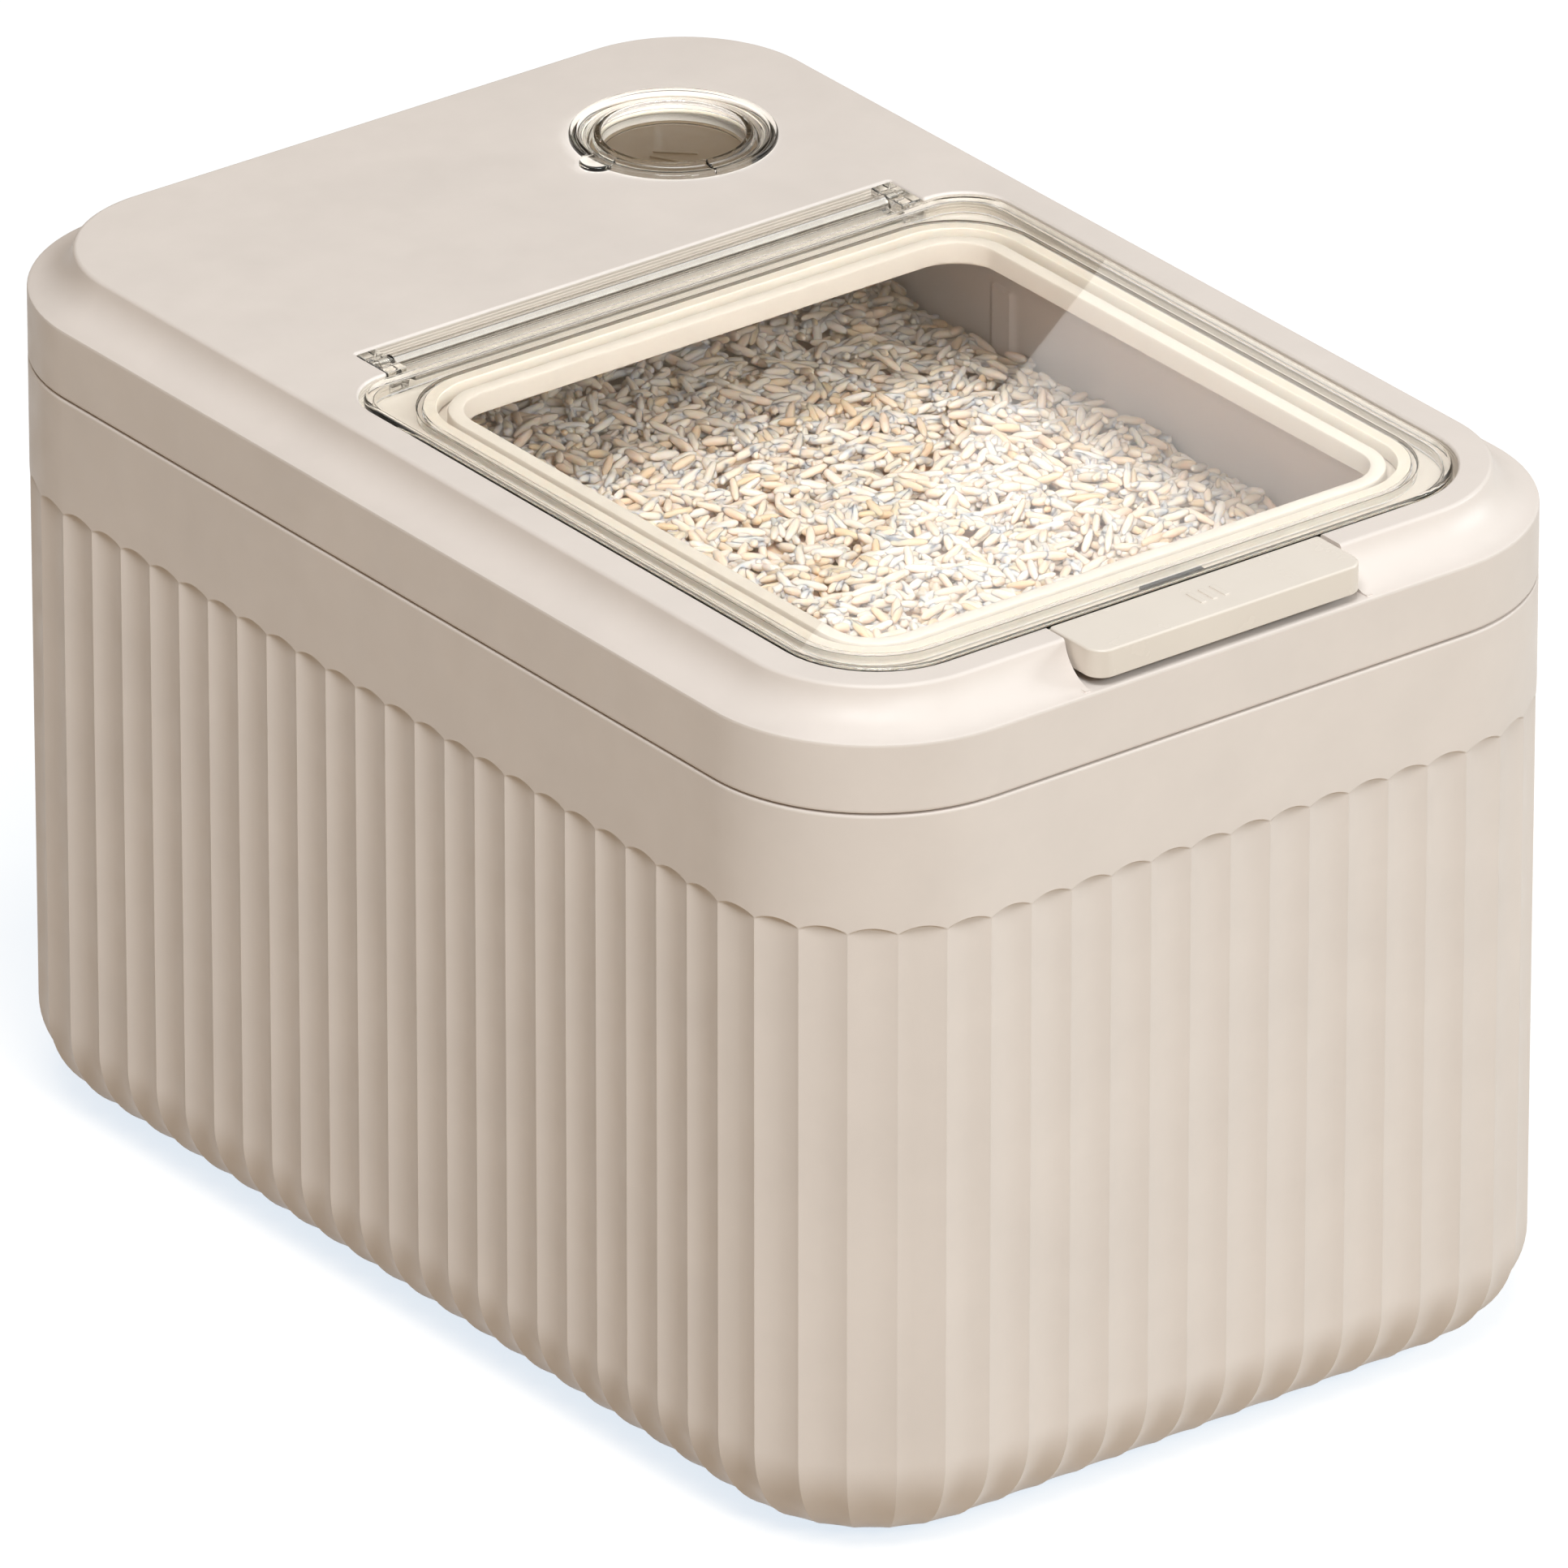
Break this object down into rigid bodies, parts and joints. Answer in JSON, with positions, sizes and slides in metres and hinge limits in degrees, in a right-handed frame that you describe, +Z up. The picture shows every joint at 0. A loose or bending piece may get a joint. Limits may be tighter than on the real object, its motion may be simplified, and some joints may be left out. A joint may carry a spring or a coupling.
{
  "type": "rice storage bin",
  "caption": "Rectangular fluted rice bin with a lift-off lid, a clear sprung flip-up window with push-button latch, and a dial over a desiccant box.",
  "frame": {"origin": "centre of the bin's footprint, on the surface it stands on", "axes": "+Z up, -Y towards the front with the push button, +Y towards the back, +X to the right as seen from the front"},
  "size_m": [0.23, 0.346, 0.2256],
  "materials": {
    "cream_plastic": "fine satin moulding",
    "cream_gloss": "smooth semi-gloss",
    "clear_plastic": "polished clear",
    "silicone": "smooth soft silicone",
    "steel": "bright drawn wire",
    "white_acetal": "smooth self-lubricating",
    "taupe_plastic": "polished",
    "grey_rubber": "matt rubber",
    "rice": "loose polished grains",
    "sachet_paper": "soft woven paper"
  },
  "bodies": {
    "tub": {"tub": "cream_plastic", "rice": "rice", "foot_pads": "grey_rubber"},
    "lid": {"lid_frame": "cream_plastic", "window_rim": "cream_plastic", "dial_well": "cream_plastic", "lid_liner": "cream_plastic", "lid_seal": "silicone", "lid_screws": "steel", "hinge_pin": "steel", "hinge_cap_left": "clear_plastic", "hinge_cap_right": "clear_plastic", "torsion_spring_left": "steel", "torsion_spring_right": "steel", "button_spring_left": "steel", "button_spring_right": "steel", "latch_cover": "cream_plastic", "latch_screws": "steel"},
    "flip_lid": {"window_panel": "clear_plastic", "window_gasket": "silicone", "lid_catch": "clear_plastic"},
    "button": {"push_button": "cream_gloss"},
    "latch": {"latch_slider": "white_acetal"},
    "desiccant": {"desiccant_box": "cream_plastic", "desiccant_cap": "cream_plastic", "desiccant_sachet": "sachet_paper"},
    "dial": {"dial_ring": "clear_plastic", "dial_disc": "taupe_plastic", "dial_oring": "silicone"}
  },
  "joints": [
    {"name": "lid_lift", "type": "slide", "parent": "tub", "child": "lid", "axis": [0, 0, 1], "range_m": [0, 0.08]},
    {"name": "flip", "type": "hinge", "parent": "lid", "child": "flip_lid", "pos_m": [0, 0.0536, 0.2214], "axis": [-1, 0, 0], "range_deg": [0, 96]},
    {"name": "button_press", "type": "slide", "parent": "lid", "child": "button", "axis": [0, 0, -1], "range_m": [0, 0.002], "stiffness_N_per_m": 400, "springref_m": -0.002, "deforming": ["button_spring_left", "button_spring_right"]},
    {"name": "latch_slide", "type": "slide", "parent": "lid", "child": "latch", "axis": [0, -1, 0], "range_m": [0, 0.002]},
    {"name": "desiccant_lift", "type": "slide", "parent": "lid", "child": "desiccant", "axis": [0, 0, 1], "range_m": [0, 0.04]},
    {"name": "dial_turn", "type": "hinge", "parent": "desiccant", "child": "dial", "pos_m": [0.0532, 0.11, 0.2214], "axis": [0, 0, 1], "continuous": true}
  ],
  "couplings": [
    {"joint": "latch_slide", "follows": "button_press", "ratio": 1}
  ]
}
